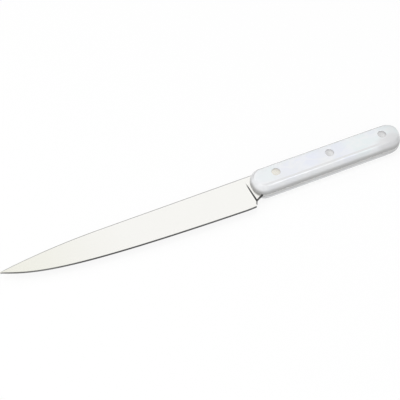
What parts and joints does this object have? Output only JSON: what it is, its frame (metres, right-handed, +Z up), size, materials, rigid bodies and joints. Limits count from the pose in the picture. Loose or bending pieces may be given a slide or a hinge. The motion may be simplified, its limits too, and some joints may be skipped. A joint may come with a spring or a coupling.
{
  "type": "fillet knife",
  "caption": "Slim pointed kitchen knife for filleting and slicing, with a flat-ground steel blade, a full tang and smooth pearl-white handle scales held by flush rivets.",
  "frame": {"origin": "centre of the bounding box in plan, on the surface that the knife lies on", "axes": "+X from the tip to the butt, +Y from the cutting edge to the spine, +Z up through the thickness of the handle"},
  "size_m": [0.3358, 0.0314, 0.0165],
  "materials": {
    "blade_steel": "polished along the blade, fine grinding lines",
    "handle_pearl": "glossy, faint pearl clouding",
    "rivet_steel": "polished, slightly domed"
  },
  "bodies": {
    "root": {"blade": "blade_steel", "upper_scale": "handle_pearl", "lower_scale": "handle_pearl", "front_rivet_sleeve": "rivet_steel", "front_rivet_pin": "rivet_steel", "middle_rivet_sleeve": "rivet_steel", "middle_rivet_pin": "rivet_steel", "rear_rivet_sleeve": "rivet_steel", "rear_rivet_pin": "rivet_steel"}
  },
  "joints": []
}
